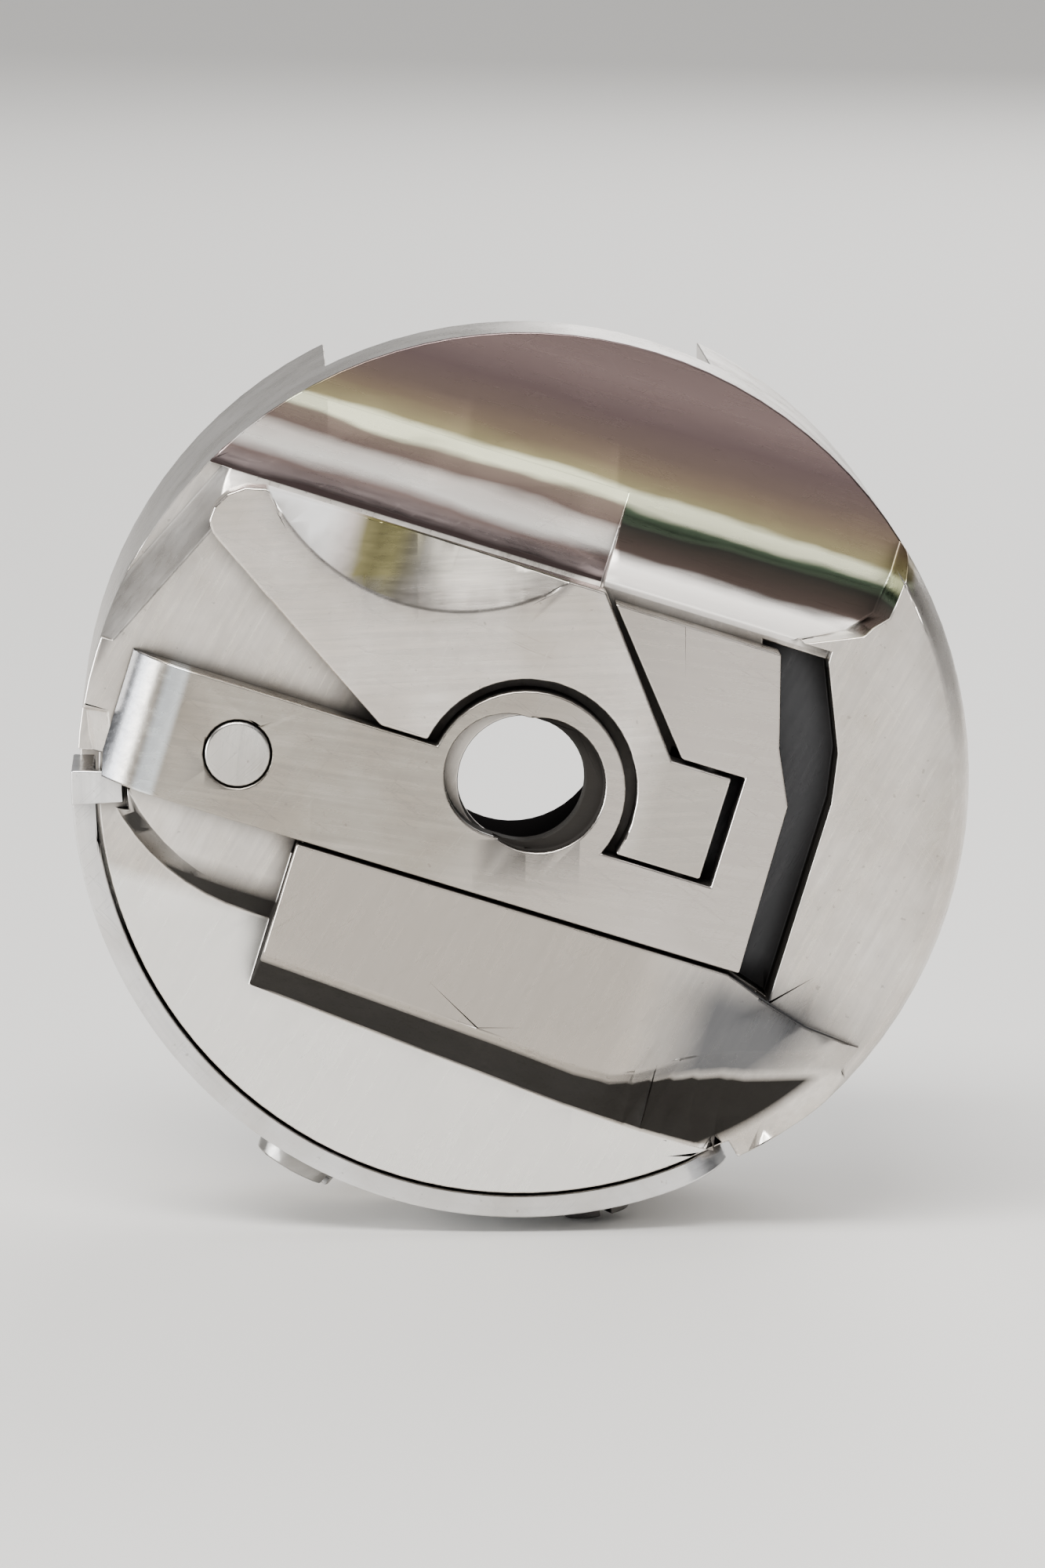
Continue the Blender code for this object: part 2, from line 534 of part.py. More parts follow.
def main():
    for thing in list(bpy.data.objects):
        bpy.data.objects.remove(thing)
    parts = bpy.data.collections.new("bobbin_case")
    bpy.context.scene.collection.children.link(parts)
    tilt = bpy.data.objects.new("tilt", None)
    tilt.rotation_euler = (0, math.radians(TILT), 0)
    parts.objects.link(tilt)

    nickel = (0.62, 0.58, 0.54)
    steel = (0.66, 0.63, 0.60)
    dark_steel = (0.42, 0.41, 0.40)
    place(make_case_body(), tilt, parts, nickel, 0.30)
    place(make_center_tube(), tilt, parts, steel, 0.25)
    slide_origin = (RIVET_X, FRONT_Y, RIVET_Z)
    place(make_latch_slide(), tilt, parts, nickel, 0.28, slide_origin)
    place(make_slide_stud(), tilt, parts, steel, 0.25, slide_origin)
    hinge = (PIN_X, PIN_Y, 0)
    place(make_lever_pin(), tilt, parts, dark_steel, 0.3, hinge)
    place(make_latch_lever(), tilt, parts, nickel, 0.26, hinge)
    place(make_latch_spring(), tilt, parts, dark_steel, 0.3)
    place(make_tension_spring(), tilt, parts, steel, 0.15)
    screw_origin = polar(LEAF_OUT, TENSION_ANGLE, SCREW_Y)
    place(make_screw("tension_screw", TENSION_ANGLE, 1.15, 0.5, 30), tilt, parts, dark_steel, 0.3,
          screw_origin)
    place(make_screw("spring_clamp_screw", CLAMP_ANGLE, 0.95, 0.4, 75), tilt, parts, dark_steel, 0.3,
          polar(LEAF_OUT, CLAMP_ANGLE, SCREW_Y))
    place(make_bobbin_hub(), tilt, parts, steel, 0.25)
    place(make_flange("bobbin_front_flange", BOBBIN_FRONT), tilt, parts, steel, 0.22)
    place(make_flange("bobbin_rear_flange", BOBBIN_REAR - FLANGE_T), tilt, parts, steel, 0.22)


main()
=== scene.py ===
"""Looks of the bobbin case: its CAD pieces with rounded edges, in worn plated steel, on a pale stage."""

import json
import math

import bmesh
import bpy
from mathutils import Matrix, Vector
from mathutils.geometry import intersect_point_line

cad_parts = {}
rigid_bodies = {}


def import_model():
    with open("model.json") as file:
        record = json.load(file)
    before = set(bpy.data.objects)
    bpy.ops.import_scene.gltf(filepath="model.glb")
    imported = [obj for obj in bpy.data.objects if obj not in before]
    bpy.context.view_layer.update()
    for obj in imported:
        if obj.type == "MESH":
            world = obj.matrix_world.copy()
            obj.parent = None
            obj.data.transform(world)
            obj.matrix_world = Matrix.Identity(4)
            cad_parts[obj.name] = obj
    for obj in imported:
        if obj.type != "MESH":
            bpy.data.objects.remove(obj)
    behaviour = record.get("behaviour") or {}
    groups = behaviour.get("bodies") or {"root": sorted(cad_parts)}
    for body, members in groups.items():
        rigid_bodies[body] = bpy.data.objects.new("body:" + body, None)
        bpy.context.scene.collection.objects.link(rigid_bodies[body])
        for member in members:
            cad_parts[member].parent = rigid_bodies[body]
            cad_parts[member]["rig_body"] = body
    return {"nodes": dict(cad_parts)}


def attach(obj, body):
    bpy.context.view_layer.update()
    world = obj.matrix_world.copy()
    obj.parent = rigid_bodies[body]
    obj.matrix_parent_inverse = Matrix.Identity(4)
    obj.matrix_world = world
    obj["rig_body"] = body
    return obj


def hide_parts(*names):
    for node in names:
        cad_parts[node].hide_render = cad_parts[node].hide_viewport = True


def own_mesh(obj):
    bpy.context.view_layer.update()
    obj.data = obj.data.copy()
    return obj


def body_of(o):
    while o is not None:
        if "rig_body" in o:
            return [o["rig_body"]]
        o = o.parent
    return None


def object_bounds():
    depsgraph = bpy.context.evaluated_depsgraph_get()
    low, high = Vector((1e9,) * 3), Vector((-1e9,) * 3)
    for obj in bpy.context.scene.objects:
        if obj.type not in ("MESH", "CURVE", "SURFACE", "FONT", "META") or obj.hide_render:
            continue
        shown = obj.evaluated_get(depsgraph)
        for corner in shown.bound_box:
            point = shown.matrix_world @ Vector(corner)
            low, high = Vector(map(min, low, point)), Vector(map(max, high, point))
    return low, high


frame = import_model()
cad_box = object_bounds()

MM = 0.001
TILT = math.radians(17.3)        # the case is turned this far about its own axis
IMAGE_W, IMAGE_H = 1333, 2000    # the picture's proportions

# Where things are on the case, in its own upright millimetres (u right, y deep, v up)
COVE_LOW = 5.48                  # the lower edge of the cove above the latch
POCKET_RIGHT = 0.45              # the cove is a deeper nail pocket left of this
SCOOP_U, SCOOP_V, SCOOP_R = -4.5, 9.1, 5.5       # the ground hollow in the lever
GAP_LEFT, GAP_RIGHT = 3.3, 7.8   # the gap at the slide's right end
BLOCK_LOW, BLOCK_HIGH = -7.4, -3.0               # the raised block under the slide, with a little room
SEGMENT_TOP = -5.4               # the low segment of the face lies below this
RELIEF_R = 10.5                  # how far out the painted shade reaches in the relief
HOLE_R = 2.25                    # how far out the painted oil and shade reach in the slide's hole
BORE_R = 2.5                     # the tube's bore and its rounded edge
FRONT_Y, PLATFORM_Y, FLOOR_Y = -12.0, -10.9, -10.0

# How the CAD meshes are prepared
MERGE = 0.002                    # corners closer than this are one, in millimetres
FLAT_ANGLE = 0.6                 # faces within this many degrees are one flat face
BEVEL_ANGLE = 22.0               # edges sharper than this many degrees are rounded
SHARP_ANGLE = 27.0               # edges sharper than this many degrees part the shading
BEVEL_STEPS = 3
OPPOSED = -0.2                   # two edges face each other when their inward directions give less
PROBES = (0.1, 0.3, 0.5, 0.7, 0.9)               # where the room along an edge is measured
ROOM = 4.0                       # an edge with less room than this many widths is rounded less
LEAST_WEIGHT = 0.03              # the least share of the width that an edge is rounded by
CUT_SNAP = 0.03                  # corners this close to a cutting plane move onto it, in millimetres


# ---------------------------------------------------------------- meshes

def weigh_edges(bm, width):
    """Mark the sharp edges for rounding, less so where two edges of a face run close together."""
    weight = bm.edges.layers.float.new("bevel_weight_edge")
    for edge in bm.edges:
        if len(edge.link_faces) == 2 and edge.calc_face_angle(0.0) > math.radians(BEVEL_ANGLE):
            edge[weight] = 1.0
    room = ROOM * width
    for face in bm.faces:
        sides = []
        for loop in face.loops:
            start, end = loop.vert.co, loop.link_loop_next.vert.co
            if loop.edge[weight] > 0:
                sides.append((loop.edge, start, end, face.normal.cross(end - start).normalized()))
        for edge, start, end, inward in sides:
            for other, other_start, other_end, other_inward in sides:
                if inward.dot(other_inward) > OPPOSED:
                    continue
                joined = bool(set(edge.verts) & set(other.verts))
                for share in ((0.5,) if joined else PROBES):
                    point = start.lerp(end, share)
                    along = intersect_point_line(point, other_start, other_end)[1]
                    offset = other_start.lerp(other_end, min(max(along, 0.0), 1.0)) - point
                    if offset.length < room and offset.dot(inward) > 0:
                        edge[weight] = min(edge[weight], max(LEAST_WEIGHT, offset.length / room))


def cut_cells(bm, pitch):
    """Cut the faces along planes a pitch apart, so that no flat face winds round a hole."""
    for axis in range(3):
        places = [vert.co[axis] for vert in bm.verts]
        normal = Vector([1.0 if index == axis else 0.0 for index in range(3)])
        for step in range(math.ceil(min(places) / pitch), math.floor(max(places) / pitch) + 1):
            bmesh.ops.bisect_plane(bm, geom=[*bm.verts, *bm.edges, *bm.faces], dist=CUT_SNAP * MM,
                                   plane_co=normal * step * pitch, plane_no=normal)


def refined(node, width=0.0, cells=None):
    """A piece with the CAD node's shape, its flat faces made whole again and its edges rounded."""
    bm = bmesh.new()
    bm.from_mesh(frame["nodes"][node].data)
    bmesh.ops.remove_doubles(bm, verts=bm.verts, dist=MERGE * MM)
    bmesh.ops.dissolve_limit(bm, angle_limit=math.radians(FLAT_ANGLE), verts=bm.verts, edges=bm.edges)
    if cells is not None:
        cut_cells(bm, cells * MM)
    if width > 0:
        weigh_edges(bm, width * MM)
    mesh = bpy.data.meshes.new(node + "_finish")
    bm.to_mesh(mesh)
    bm.free()
    mesh.shade_smooth()
    mesh.set_sharp_from_angle(angle=math.radians(SHARP_ANGLE))
    piece = bpy.data.objects.new(node + "_finish", mesh)
    bpy.context.scene.collection.objects.link(piece)
    if width > 0:
        bevel = piece.modifiers.new("edges", "BEVEL")
        bevel.width = width * MM
        bevel.segments = BEVEL_STEPS
        bevel.limit_method = "WEIGHT"
        bevel.use_clamp_overlap = False
        bevel.harden_normals = True
    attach(piece, body_of(frame["nodes"][node])[0])
    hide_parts(node)
    return piece


# ---------------------------------------------------------------- materials

class Nodes:
    """A small helper that adds nodes to one tree and links them."""

    def __init__(self, tree):
        self.tree = tree

    def put(self, socket, value):
        if isinstance(value, bpy.types.NodeSocket):
            self.tree.links.new(value, socket)
        else:
            socket.default_value = value

    def node(self, kind, inputs=None, **settings):
        made = self.tree.nodes.new(kind)
        for key, value in settings.items():
            setattr(made, key, value)
        for key, value in (inputs or {}).items():
            self.put(made.inputs[key], value)
        return made

    def math(self, operation, a, b=0.0, clamp=False):
        return self.node("ShaderNodeMath", {0: a, 1: b}, operation=operation, use_clamp=clamp).outputs[0]

    def product(self, *masks):
        share = masks[0]
        for mask in masks[1:]:
            share = self.math("MULTIPLY", share, mask)
        return share

    def rise(self, value, start, end):
        """0 up to start, 1 from end on."""
        return self.remap(value, start, end, 0.0, 1.0)

    def fall(self, value, start, end):
        """1 up to start, 0 from end on."""
        return self.remap(value, start, end, 1.0, 0.0)

    def band(self, value, low, high, soft):
        """1 between low and high, fading over soft."""
        return self.product(self.smooth(value, low - soft, low + soft),
                            self.smooth(value, high + soft, high - soft))

    def smooth(self, value, start, end):
        """0 at start and 1 at end, with a soft beginning and end."""
        return self.node("ShaderNodeMapRange", {"Value": value, "From Min": start, "From Max": end},
                         interpolation_type="SMOOTHSTEP").outputs[0]

    def remap(self, value, low, high, to_low, to_high):
        return self.node("ShaderNodeMapRange", {"Value": value, "From Min": low, "From Max": high,
                                                "To Min": to_low, "To Max": to_high}).outputs[0]

    def ramp(self, value, stops):
        made = self.node("ShaderNodeValToRGB", {"Fac": value})
        ramp = made.color_ramp
        while len(ramp.elements) < len(stops):
            ramp.elements.new(0.5)
        for element, (place, colour) in zip(ramp.elements, stops):
            element.position = place
            element.color = (*colour, 1.0)
        return made.outputs[0]

    def ramp_along(self, value, low, high, stops):
        """Colours at places of a coordinate that runs from low to high."""
        shares = [((at - low) / (high - low), colour) for at, colour in stops]
        return self.ramp(self.rise(value, low, high), shares)

    def mix(self, share, a, b):
        made = self.node("ShaderNodeMix", data_type="RGBA")
        for index, value in ((0, share), (6, a), (7, b)):
            if isinstance(value, tuple):
                value = (*value, 1.0)
            self.put(made.inputs[index], value)
        return made.outputs[2]

    def noise(self, vector, scale, detail=3.0, roughness=0.55):
        return self.node("ShaderNodeTexNoise", {"Vector": vector, "Scale": scale, "Detail": detail,
                                                "Roughness": roughness}).outputs["Fac"]


class Shader(Nodes):
    """The nodes of one material."""

    def __init__(self, name):
        self.material = bpy.data.materials.new(name)
        self.material.use_nodes = True
        super().__init__(self.material.node_tree)
        self.bsdf = self.tree.nodes["Principled BSDF"]
        self.dull = 0.0          # how matt the surface is: a share, or a socket that gives it

    def local(self):
        """Coordinates of the upright case, in millimetres, and their three parts u, y and v."""
        place = self.node("ShaderNodeTexCoord").outputs["Object"]
        turned = self.node("ShaderNodeMapping", {"Vector": place, "Scale": (1000, 1000, 1000),
                                                 "Rotation": (0, -TILT, 0)}).outputs[0]
        parts = self.node("ShaderNodeSeparateXYZ", {"Vector": turned}).outputs
        return turned, parts[0], parts[1], parts[2]

    def stretched(self, vector, angle, along, across):
        """Coordinates for strokes that run at an angle in the face, long one way and fine the other."""
        turned = self.node("ShaderNodeMapping", {"Vector": vector, "Rotation": (0, math.radians(angle), 0)})
        return self.node("ShaderNodeMapping", {"Vector": turned.outputs[0],
                                               "Scale": (along, across, across)}).outputs[0]

    def rings(self, u, v, y, across, along):
        """Coordinates for strokes that run round the case's axis."""
        parts = {"X": self.product(self.radius(u, v), across),
                 "Y": self.product(self.math("ARCTAN2", v, u), along),
                 "Z": self.product(y, across)}
        return self.node("ShaderNodeCombineXYZ", parts).outputs[0]

    def radius(self, u, v):
        return self.math("SQRT", self.math("ADD", self.product(u, u), self.product(v, v)))

    def facing(self):
        """1 on surfaces square to the case's axis, 0 on walls along it."""
        normal = self.node("ShaderNodeTexCoord").outputs["Normal"]
        return self.math("ABSOLUTE", self.node("ShaderNodeSeparateXYZ", {"Vector": normal}).outputs[1])

    def bump(self, height, distance, strength, base=None):
        inputs = {"Height": height, "Distance": distance * MM, "Strength": strength}
        if base is not None:
            inputs["Normal"] = base
        return self.node("ShaderNodeBump", inputs).outputs[0]

    def finish(self, colour, roughness, normal, metallic):
        self.put(self.bsdf.inputs["Base Color"], colour)
        self.put(self.bsdf.inputs["Roughness"], roughness)
        self.put(self.bsdf.inputs["Normal"], normal)
        self.put(self.bsdf.inputs["Metallic"], metallic)
        return self.material


# Two families of scratches: turn from the brushing, scale along, scale across, and how rare they are
SCRATCHES = ((63, 0.2, 7.0, 0.635), (-28, 0.28, 9.0, 0.66))
SCRATCH_HALF_WIDTH = 0.01
BLACK, WHITE = (0, 0, 0), (1, 1, 1)
PIT_BROWN = (0.16, 0.13, 0.11)
# Painted shade in creases, on the relief's walls and in the gap; oil with painted shade in the slide's hole
# and the tube's bore
CREASE_SHADE = (0.014, 0.012, 0.011)
WALL_SHADE = (0.012, 0.011, 0.010)
SLIDE_HOLE_OIL_AND_SHADE = (0.014, 0.013, 0.012)
BORE_OIL_AND_SHADE = (0.012, 0.011, 0.011)
GAP_SHADE = (0.045, 0.047, 0.052)


def scaled(colour, *factors):
    """A colour times one factor or times one for each channel, at most white."""
    return tuple(min(1.0, c * f) for c, f in zip(colour, factors * (3 // len(factors))))


def scratch_lines(s, place, angle):
    """Thin lines where a stretched noise passes a level."""
    lines = []
    for turn, along, across, level in SCRATCHES:
        value = s.noise(s.stretched(place, angle + turn, along, across), 1.0, 2.0, 0.4)
        lines.append(s.ramp(value, [(0.0, BLACK), (level - SCRATCH_HALF_WIDTH, BLACK), (level, WHITE),
                                    (level + SCRATCH_HALF_WIDTH, BLACK)]))
    return s.math("MAXIMUM", *lines)


def worn_steel(name, colour, rough, brush, shade_strength=0.95, turned=False, marks=0.5, tint=None, crossed=None):
    """Plated steel with brush strokes, scratches, smears, pits and painted shade in the creases.

    brush is the strokes' angle and their scales along and across. turned makes them run round the axis.
    The shade strength and marks give how strong the painted crease shade and the scratches are. tint gives
    the regions their own colours and paints light and shade on some. crossed is a region whose strokes run
    along the latch.
    """
    s = Shader(name)
    place, u, y, v = s.local()
    facing = s.facing()
    flat = s.rise(facing, 0.93, 0.995)
    angle, along, across = brush
    strokes_at = s.rings(u, v, y, across, along) if turned else s.stretched(place, angle, along, across)
    strokes = s.noise(strokes_at, 1.0, 4.0, 0.6)
    if crossed is not None:
        along_latch = s.noise(s.stretched(place, 0.0, along, across), 1.0, 4.0, 0.6)
        strokes = s.mix(crossed(s, u, y, v), strokes, along_latch)
    smear = s.noise(place, 0.45, 4.0, 0.6)
    scratches = s.product(scratch_lines(s, place, angle), flat, marks)
    pits = s.ramp(s.noise(place, 5.5, 2.0, 0.5), [(0.0, WHITE), (0.26, WHITE), (0.30, BLACK)])
    # Painted shade: the colour darkens where ambient occlusion finds creases, recesses and gaps between
    # parts
    occlusion = s.node("ShaderNodeAmbientOcclusion", {"Distance": 0.8 * MM}, samples=6).outputs["AO"]
    crease_shade = s.math("MULTIPLY", s.fall(occlusion, 0.32, 0.86), shade_strength, clamp=True)

    base = s.mix(s.rise(smear, 0.3, 0.7), scaled(colour, 0.70, 0.67, 0.63), colour)
    base = s.mix(s.remap(strokes, 0.3, 0.7, 0.0, 0.4), base, scaled(colour, 0.6))
    base = s.mix(s.product(scratches, 0.4), base, scaled(colour, 1.2))
    base = s.mix(s.product(pits, flat, 0.35), base, PIT_BROWN)
    if tint is not None:
        base = tint(s, base, u, y, v, facing)
    base = s.mix(crease_shade, base, CREASE_SHADE)

    roughness = s.math("ADD", s.remap(strokes, 0.25, 0.75, rough - 0.05, rough + 0.07),
                       s.remap(smear, 0.3, 0.7, -0.03, 0.04))
    roughness = s.math("ADD", roughness, s.product(crease_shade, 0.2))
    roughness = s.math("ADD", roughness, s.product(s.dull, 0.25))
    normal = s.bump(strokes, 0.005, 0.22)
    normal = s.bump(scratches, 0.01, 0.2, normal)

    # Very dark places, mostly painted shade and painted dark reflections, are not metallic
    lightness = s.node("ShaderNodeRGBToBW", {"Color": base}).outputs[0]
    metallic = s.math("SUBTRACT", s.rise(lightness, 0.02, 0.09), s.product(s.dull, 0.6), clamp=True)
    s.bsdf.inputs["Specular IOR Level"].default_value = 0.0
    return s.finish(base, roughness, normal, metallic)


def reflection_zone(s, u, y, v):
    """1 where reflections are painted: in the cove, in the pocket and on the lowered segment above them."""
    return s.product(s.band(y, FRONT_Y + 0.35, FLOOR_Y + 0.08, 0.03),
                     s.band(v, COVE_LOW - 0.05, 20.0, 0.02),
                     s.fall(u, 7.9, 8.1))


def painted_reflections(s, u, v):
    """Painted reflections in bands along the latch: dark, white and straw in the hollows, then brown and
    purple above.
    """
    ripple_at = s.node("ShaderNodeCombineXYZ", {"X": s.product(u, 0.22), "Y": v}).outputs[0]
    ripple = s.remap(s.noise(ripple_at, 1.1, 3.0), 0.3, 0.7, -0.10, 0.10)
    height = s.math("ADD", v, ripple)
    low, high = 5.0, 12.0
    # The straw band is a painted highlight
    straw = (0.98, 1.0, 0.72)
    upper = [(7.56, straw), (7.84, straw), (8.0, (0.30, 0.26, 0.14)), (8.5, (0.20, 0.15, 0.105)),
             (9.0, (0.145, 0.105, 0.09)), (9.7, (0.125, 0.088, 0.088)), (10.6, (0.20, 0.145, 0.14)),
             (11.8, (0.17, 0.125, 0.12))]
    # The cove: a painted white highlight, a painted dark reflection, then the straw highlight
    cove = s.ramp_along(height, low, high, [
        (5.2, (1.0, 0.96, 0.91)), (6.05, (1.0, 0.95, 0.90)), (6.4, (0.05, 0.035, 0.03)),
        (7.1, (0.012, 0.012, 0.010)), (7.4, (0.10, 0.14, 0.09)), *upper])
    # The pocket: painted shade under the lever's edge, then painted light and dark reflection bands
    pocket = s.ramp_along(height, low, high, [
        (5.55, (0.03, 0.02, 0.02)), (5.75, (0.50, 0.40, 0.39)), (6.05, (0.34, 0.25, 0.23)),
        (6.35, (0.90, 0.87, 0.83)), (6.75, (0.74, 0.68, 0.64)), (7.05, (0.17, 0.125, 0.11)),
        (7.4, (0.22, 0.17, 0.14)), *upper])
    return s.mix(s.rise(u, POCKET_RIGHT - 0.04, POCKET_RIGHT + 0.04), pocket, cove)


def painted_shade_masks(s, u, y, v, facing):
    """Where shade is painted: on the relief's walls, on the slope under the block and in the slide's gap.
    """
    radius = s.radius(u, v)
    walls = s.product(s.fall(facing, 0.55, 0.86), s.fall(radius, RELIEF_R - 0.2, RELIEF_R + 0.2),
                      s.fall(v, 5.1, 5.4), s.band(y, FRONT_Y + 0.08, FLOOR_Y + 0.1, 0.05))
    # To the right the slope flares out and its upper part has no painted shade
    depth = s.math("SUBTRACT", y, s.product(s.rise(u, 3.2, 6.2), 0.35))
    slope = s.product(s.rise(depth, FRONT_Y + 0.06, FRONT_Y + 0.22),
                      s.fall(y, FLOOR_Y - 0.10, FLOOR_Y - 0.04),
                      s.fall(v, -4.9, -4.3), s.fall(radius, RELIEF_R + 0.1, RELIEF_R + 0.4))
    gap = s.product(s.band(u, GAP_LEFT, GAP_RIGHT, 0.04), s.band(v, -3.7, 5.45, 0.05),
                    s.band(y, PLATFORM_Y + 0.3, FLOOR_Y + 0.1, 0.05))
    return s.math("MAXIMUM", walls, slope), gap


def case_tint(s, base, u, y, v, facing):
    """Painted reflections above the latch, painted shade in the relief, in the gap and on the flare, a
    duller block and a painted reflection that brightens the lower segment.
    """
    # Painted reflections in the cove, the pocket and the segment above them; the white band is made matt
    reflecting = reflection_zone(s, u, y, v)
    base = s.mix(s.product(reflecting, 0.99), base, painted_reflections(s, u, v))
    s.dull = s.product(reflecting, s.band(v, 5.3, 6.15, 0.15), s.remap(u, 0.4, 0.5, 0.0, 0.7))

    # Painted shade on the relief's walls, on the slope under the block and in the slide's gap
    shaded_relief, gap = painted_shade_masks(s, u, y, v, facing)
    base = s.mix(s.product(gap, 0.97), base, GAP_SHADE)
    base = s.mix(s.product(shaded_relief, 0.98), base, WALL_SHADE)

    near_front = s.fall(y, FRONT_Y + 0.3, FRONT_Y + 0.5)
    block = s.product(near_front, s.band(v, BLOCK_LOW, BLOCK_HIGH, 0.1), s.fall(u, 4.0, 6.0))
    base = s.mix(s.product(block, 0.9), base, (0.42, 0.38, 0.335))
    # Painted shade on the flare and the lower part of the crescent
    shade = s.product(s.rise(u, 4.6, 6.4), s.band(v, -7.0, -3.2, 0.9), near_front,
                      s.remap(s.radius(u, v), 9.3, 10.4, 0.92, 0.3))
    base = s.mix(shade, base, (0.09, 0.095, 0.105))
    # Painted reflection: the front faces of the lower segment are made nearly white
    lower = s.product(s.rise(facing, 0.90, 0.97), s.rise(y, FLOOR_Y - 0.12, FLOOR_Y - 0.04),
                      s.fall(v, SEGMENT_TOP - 0.2, SEGMENT_TOP + 0.2))
    return s.mix(s.product(lower, 0.8), base, (1.0, 0.985, 0.95))


def slide_tint(s, base, u, y, v, facing):
    """The bar is duller than the wide end, its bent left end has painted shade and a painted highlight
    line, and its hole has painted oil and shade.
    """
    base = s.mix(s.remap(u, -2.0, 4.0, 0.0, 0.8), base, (0.58, 0.535, 0.50))
    # Painted shade where the bent left end turns away, then a painted highlight line on the bend
    base = s.mix(s.remap(u, -10.2, -9.7, 0.85, 0.0), base, (0.13, 0.135, 0.15))
    base = s.mix(s.product(s.band(u, -9.6, -9.1, 0.12), 0.8), base, (0.92, 0.97, 1.0))
    # Painted oil and shade on the walls of the slide's hole
    hole_oil_and_shade = s.product(s.rise(y, FRONT_Y + 0.1, FRONT_Y + 0.2),
                     s.fall(s.radius(u, v), HOLE_R - 0.05, HOLE_R + 0.05))
    return s.mix(s.product(hole_oil_and_shade, 0.97), base, SLIDE_HOLE_OIL_AND_SHADE)


def bore_tint(s, base, u, y, v, facing):
    """The inside of the tube is dark with painted shade and oil."""
    wall = s.product(s.fall(facing, 0.5, 0.8), s.fall(s.radius(u, v), BORE_R, BORE_R + 0.05))
    return s.mix(wall, base, BORE_OIL_AND_SHADE)


def lever_tint(s, base, u, y, v, facing):
    """The ground hollow for the fingernail has a painted highlight at its left, then painted reflections
    with a straw patch.
    """
    du, dv = s.math("SUBTRACT", u, SCOOP_U), s.math("SUBTRACT", v, SCOOP_V)
    hollow = s.product(s.fall(s.radius(du, dv), SCOOP_R - 0.06, SCOOP_R + 0.02),
                       s.fall(facing, 0.90, 0.97))
    # Painted highlight and reflections across the hollow, darker to the right
    hollow_reflections = s.ramp_along(u, -8.5, -0.5, [
        (-8.4, (1.0, 1.0, 1.0)), (-6.9, (0.98, 0.97, 0.96)), (-6.2, (0.74, 0.66, 0.61)),
        (-5.8, (0.27, 0.24, 0.105)), (-5.0, (0.24, 0.215, 0.09)), (-4.6, (0.11, 0.10, 0.065)),
        (-4.2, (0.085, 0.08, 0.07)), (-1.0, (0.16, 0.15, 0.135))])
    tab = s.product(s.remap(u, 2.4, 3.4, 0.0, 0.8), s.rise(facing, 0.9, 0.97))
    base = s.mix(tab, base, (0.42, 0.39, 0.35))
    s.dull = s.product(hollow, s.fall(u, -6.6, -5.4))
    return s.mix(hollow, base, hollow_reflections)


# ---------------------------------------------------------------- stage

def area(name, place, size, power, colour=(1, 1, 1)):
    """A rectangular lamp that shines at the case's origin."""
    lamp = bpy.data.lights.new(name, "AREA")
    lamp.shape = "RECTANGLE"
    lamp.size, lamp.size_y = size
    lamp.energy = power
    lamp.color = colour
    thing = bpy.data.objects.new(name, lamp)
    thing.location = place
    thing.rotation_euler = (-Vector(place)).to_track_quat("-Z", "Y").to_euler()
    bpy.context.scene.collection.objects.link(thing)


def make_world():
    """An even pale room; the metal sees it dim in front, with a bright top and horizon."""
    world = bpy.data.worlds.new("studio")
    world.use_nodes = True
    s = Nodes(world.node_tree)
    direction = s.node("ShaderNodeTexCoord").outputs["Generated"]
    parts = s.node("ShaderNodeSeparateXYZ", {"Vector": direction}).outputs
    greys = [(0.0, 0.85), (0.10, 0.80), (0.17, 0.07), (0.52, 0.06), (0.66, 0.75), (0.9, 0.6), (1.0, 0.3)]
    front = s.ramp(parts["Z"], [(at, (grey, grey, grey * 1.01)) for at, grey in greys])
    mirrored = s.mix(s.smooth(parts["Y"], 0.0, 0.5), front, (0.42, 0.42, 0.42))
    diffuse = s.node("ShaderNodeLightPath").outputs["Is Diffuse Ray"]
    s.put(s.tree.nodes["Background"].inputs["Color"], s.mix(diffuse, mirrored, (0.80, 0.795, 0.785)))
    bpy.context.scene.world = world


def make_floor():
    """A wide pale floor just under the case."""
    half_width, gap = 6.0, 0.02 * MM
    bm = bmesh.new()
    bmesh.ops.create_grid(bm, x_segments=1, y_segments=1, size=half_width)
    mesh = bpy.data.meshes.new("floor")
    bm.to_mesh(mesh)
    bm.free()
    floor = bpy.data.objects.new("floor", mesh)
    floor.location.z = cad_box[0].z - gap
    pale = Shader("floor")
    grain = pale.noise(pale.node("ShaderNodeTexCoord").outputs["Object"], 900.0)
    pale.finish((0.76, 0.745, 0.72, 1.0), 0.6, pale.bump(grain, 0.05, 0.1), 0.0)
    mesh.materials.append(pale.material)
    bpy.context.scene.collection.objects.link(floor)


def make_camera():
    """The camera looks at the case from 8 degrees above and 2 degrees to the left."""
    azimuth, elevation = math.radians(-1.9), math.radians(8.0)
    back = Vector((math.sin(azimuth) * math.cos(elevation), -math.cos(azimuth) * math.cos(elevation),
                   math.sin(elevation)))
    shown_width = 27.0 * MM
    lens, sensor = 200.0, 36.0
    distance = shown_width * IMAGE_H / IMAGE_W * lens / sensor
    look_at = Vector((0, FLOOR_Y * MM, -0.2 * MM))
    data = bpy.data.cameras.new("camera")
    data.lens = lens
    data.sensor_width = sensor
    data.clip_start, data.clip_end = 0.01, 20
    camera = bpy.data.objects.new("camera", data)
    camera.location = look_at + back * distance
    camera.rotation_mode = "QUATERNION"
    camera.rotation_quaternion = (-back).to_track_quat("-Z", "Y")
    bpy.context.scene.collection.objects.link(camera)
    bpy.context.scene.camera = camera


# ---------------------------------------------------------------- the object

NICKEL = (0.83, 0.785, 0.735)
STEEL = (0.72, 0.70, 0.67)
DARK = (0.40, 0.39, 0.375)

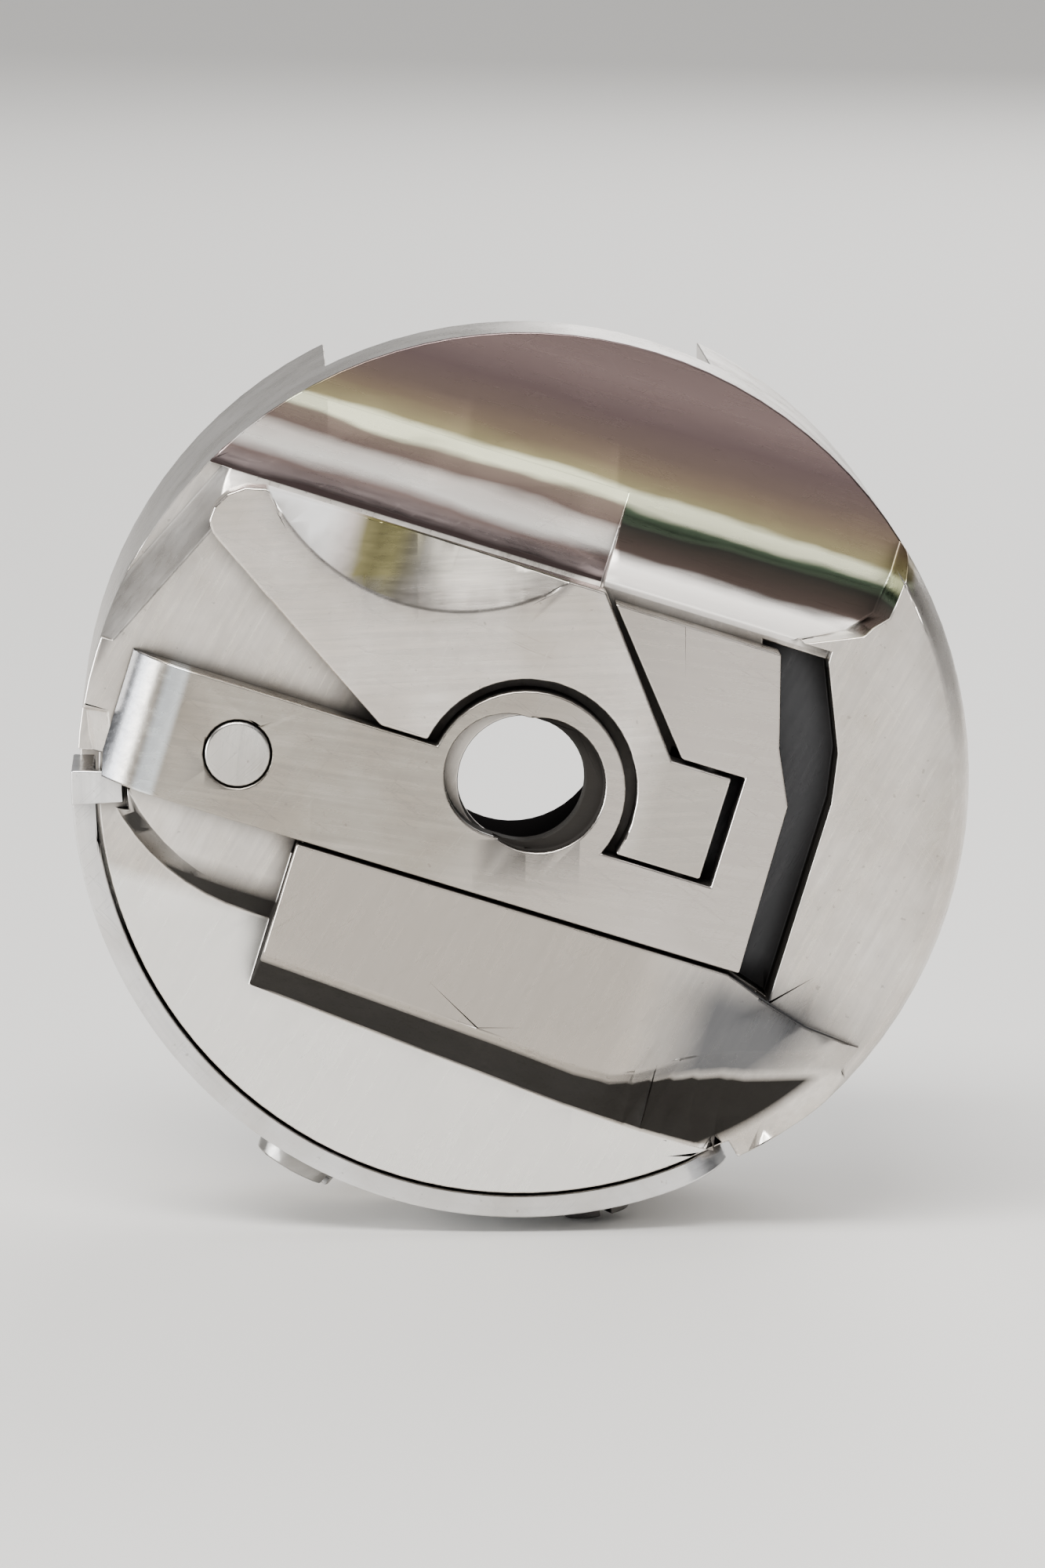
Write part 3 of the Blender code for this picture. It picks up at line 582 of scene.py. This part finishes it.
body_metal = worn_steel("case_nickel", NICKEL, 0.28, brush=(78, 0.5, 8.0), tint=case_tint,
                        crossed=reflection_zone)
slide_metal = worn_steel("slide_nickel", (0.48, 0.445, 0.395), 0.26, brush=(8, 0.25, 7.0), marks=0.7,
                         tint=slide_tint)
lever_metal = worn_steel("lever_nickel", (0.84, 0.79, 0.74), 0.25, brush=(20, 0.3, 6.0), tint=lever_tint)
bore_metal = worn_steel("bore_steel", STEEL, 0.24, brush=(0, 0.6, 7.0), turned=True, tint=bore_tint)
turned_metal = worn_steel("turned_steel", STEEL, 0.24, brush=(0, 0.6, 7.0), turned=True)
leaf_metal = worn_steel("polished_leaf", (0.88, 0.88, 0.89), 0.12, brush=(0, 0.5, 5.0), shade_strength=0.6,
                        turned=True)
screw_metal = worn_steel("dark_steel", DARK, 0.30, brush=(30, 0.6, 7.0))
bobbin_metal = worn_steel("bobbin_steel", (0.74, 0.72, 0.69), 0.20, brush=(0, 0.6, 6.0), turned=True)

# Each node with the width of its rounded edges and the size of its cells in millimetres, its metal and slot
PIECES = [
    ("case_body", 0.05, 1.25, body_metal, "case_nickel"),
    ("center_tube", 0.05, None, bore_metal, "turned_steel"),
    ("latch_slide", 0.06, 1.37, slide_metal, "latch_nickel"),
    ("slide_stud", 0.08, None, turned_metal, "turned_steel"),
    ("lever_pin", 0.03, None, screw_metal, "dark_steel"),
    ("latch_lever", 0.07, 1.37, lever_metal, "latch_nickel"),
    ("tension_spring", 0.06, None, leaf_metal, "polished_leaf"),
    ("tension_screw", 0.05, 0.37, screw_metal, "dark_steel"),
    ("spring_clamp_screw", 0.05, 0.37, screw_metal, "dark_steel"),
    ("bobbin_hub", 0.04, None, bobbin_metal, "bobbin_steel"),
    ("bobbin_front_flange", 0.05, None, bobbin_metal, "bobbin_steel"),
    ("bobbin_rear_flange", 0.05, None, bobbin_metal, "bobbin_steel"),
]
for node, width, cells, metal, slot in PIECES:
    piece = refined(node, width, cells)
    piece.data.materials.append(metal)

# The coil spring: its right end stays in the groove while the slide presses its left end
spring = refined("latch_spring")
spring.data.materials.append(screw_metal)
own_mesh(spring)

make_floor()
make_world()
make_camera()
area("overhead", (-0.06, -0.20, 0.28), (0.24, 0.12), 1.7, colour=(1.0, 0.99, 0.97))
area("left", (-0.30, -0.08, 0.03), (0.16, 0.12), 1.5, colour=(0.95, 0.98, 1.0))
area("back_fill", (0.15, 0.35, 0.20), (0.3, 0.25), 1.2)
